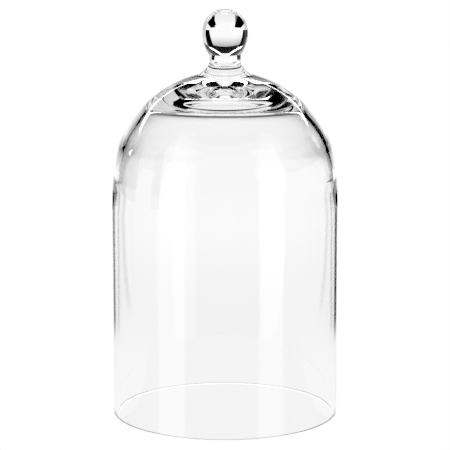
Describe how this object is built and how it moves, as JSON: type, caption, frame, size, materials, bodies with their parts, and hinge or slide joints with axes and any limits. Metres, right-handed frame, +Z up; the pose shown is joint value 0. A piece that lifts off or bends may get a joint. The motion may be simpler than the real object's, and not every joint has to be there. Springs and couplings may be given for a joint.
{
  "type": "glass bell jar dome",
  "caption": "Clear blown glass bell jar dome: straight open-mouthed wall, rounded shoulder, thick crown, and a solid ball knob on a flared foot and short neck.",
  "frame": {"origin": "centre of the rim plane, on the bell's axis: the dome stands on this point's plane", "axes": "+Z up along the axis of revolution, from the rim to the ball knob; X and Y are any two radii, as the piece is round"},
  "size_m": [0.166, 0.166, 0.3],
  "materials": {
    "clear_glass": "clear colourless soda-lime glass, fire-polished, faint blown ripple"
  },
  "bodies": {
    "root": {"bell": "clear_glass", "knob_foot": "clear_glass", "knob_neck": "clear_glass", "knob_ball": "clear_glass"}
  },
  "joints": []
}
